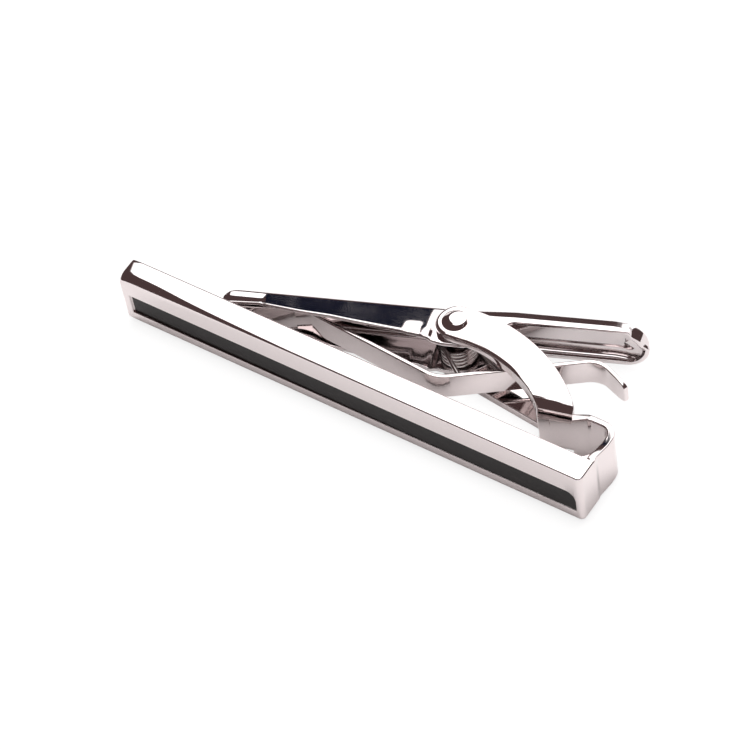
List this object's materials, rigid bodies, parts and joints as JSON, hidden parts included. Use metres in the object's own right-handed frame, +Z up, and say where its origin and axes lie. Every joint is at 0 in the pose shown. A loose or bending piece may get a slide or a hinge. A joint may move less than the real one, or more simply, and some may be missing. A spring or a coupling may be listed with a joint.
{
  "type": "tie clip",
  "caption": "Polished bar tie clip with a dark recessed strip along its face, and a riveted spring lever behind that clamps the tie against the bar.",
  "frame": {"origin": "middle of the clip's outline in plan, on the surface that it lies on", "axes": "+X along the bar towards the end that carries the bracket, +Y from the bar's face back to the lever, +Z up from the clip's lower long side"},
  "size_m": [0.0582, 0.0216, 0.0079],
  "materials": {
    "bar_metal": "mirror polished plating",
    "inlay_enamel": "smooth dark grey enamel",
    "bracket_metal": "polished plating",
    "rivet_metal": "polished plating",
    "lever_metal": "polished plating",
    "leaf_metal": "polished plating",
    "spring_steel": "bright drawn wire"
  },
  "bodies": {
    "clip_body": {"front_bar": "bar_metal", "inlay": "inlay_enamel", "bracket": "bracket_metal", "pivot_rivet": "rivet_metal", "torsion_spring": "spring_steel"},
    "lever_arm": {"lever": "lever_metal", "jaw_leaf": "leaf_metal"}
  },
  "joints": [
    {"name": "lever_pivot", "type": "hinge", "parent": "clip_body", "child": "lever_arm", "pos_m": [0.00679, 0.00107, 0.0037], "axis": [0, 0, -1], "range_deg": [0, 16], "stiffness_Nm_per_rad": 0.02, "springref_deg": -22.92}
  ]
}
